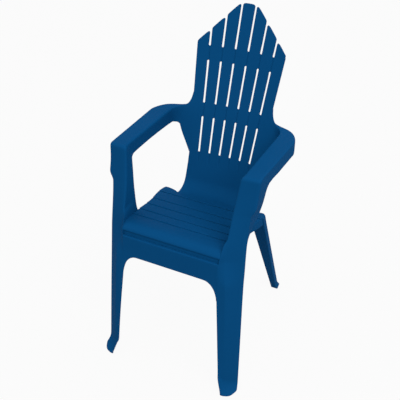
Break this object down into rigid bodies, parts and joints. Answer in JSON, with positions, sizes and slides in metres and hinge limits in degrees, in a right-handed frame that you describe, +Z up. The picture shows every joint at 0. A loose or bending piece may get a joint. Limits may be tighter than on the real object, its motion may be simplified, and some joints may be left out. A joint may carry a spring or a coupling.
{
  "type": "adirondack chair",
  "caption": "High-backed garden armchair moulded in plastic, with a fanned slatted back, broad flat arms, dipped seat and splayed legs.",
  "frame": {"origin": "on the floor, in the middle of the chair's width and length", "axes": "+X to the right as seen from in front of the chair, -Y towards the front, +Z up"},
  "size_m": [0.457, 0.5744, 0.98],
  "materials": {
    "moulding": "satin"
  },
  "bodies": {
    "root": {"back_slat_1": "moulding", "back_slat_2": "moulding", "back_slat_3": "moulding", "back_slat_4": "moulding", "back_slat_5": "moulding", "back_slat_6": "moulding", "back_slat_7": "moulding", "back_band_upper": "moulding", "back_band_middle": "moulding", "lower_back_panel": "moulding", "back_wing_right": "moulding", "back_wing_left": "moulding", "seat_nose": "moulding", "seat_slat_1": "moulding", "seat_slat_2": "moulding", "seat_slat_3": "moulding", "seat_slat_4": "moulding", "seat_slat_5": "moulding", "front_apron": "moulding", "front_leg_right": "moulding", "front_leg_left": "moulding", "front_foot_right": "moulding", "front_foot_left": "moulding", "front_post_right": "moulding", "front_post_left": "moulding", "armrest_right": "moulding", "armrest_left": "moulding", "side_rail_right": "moulding", "side_rail_left": "moulding", "rear_leg_right": "moulding", "rear_leg_left": "moulding", "rear_foot_right": "moulding", "rear_foot_left": "moulding", "rear_rail": "moulding"}
  },
  "joints": []
}
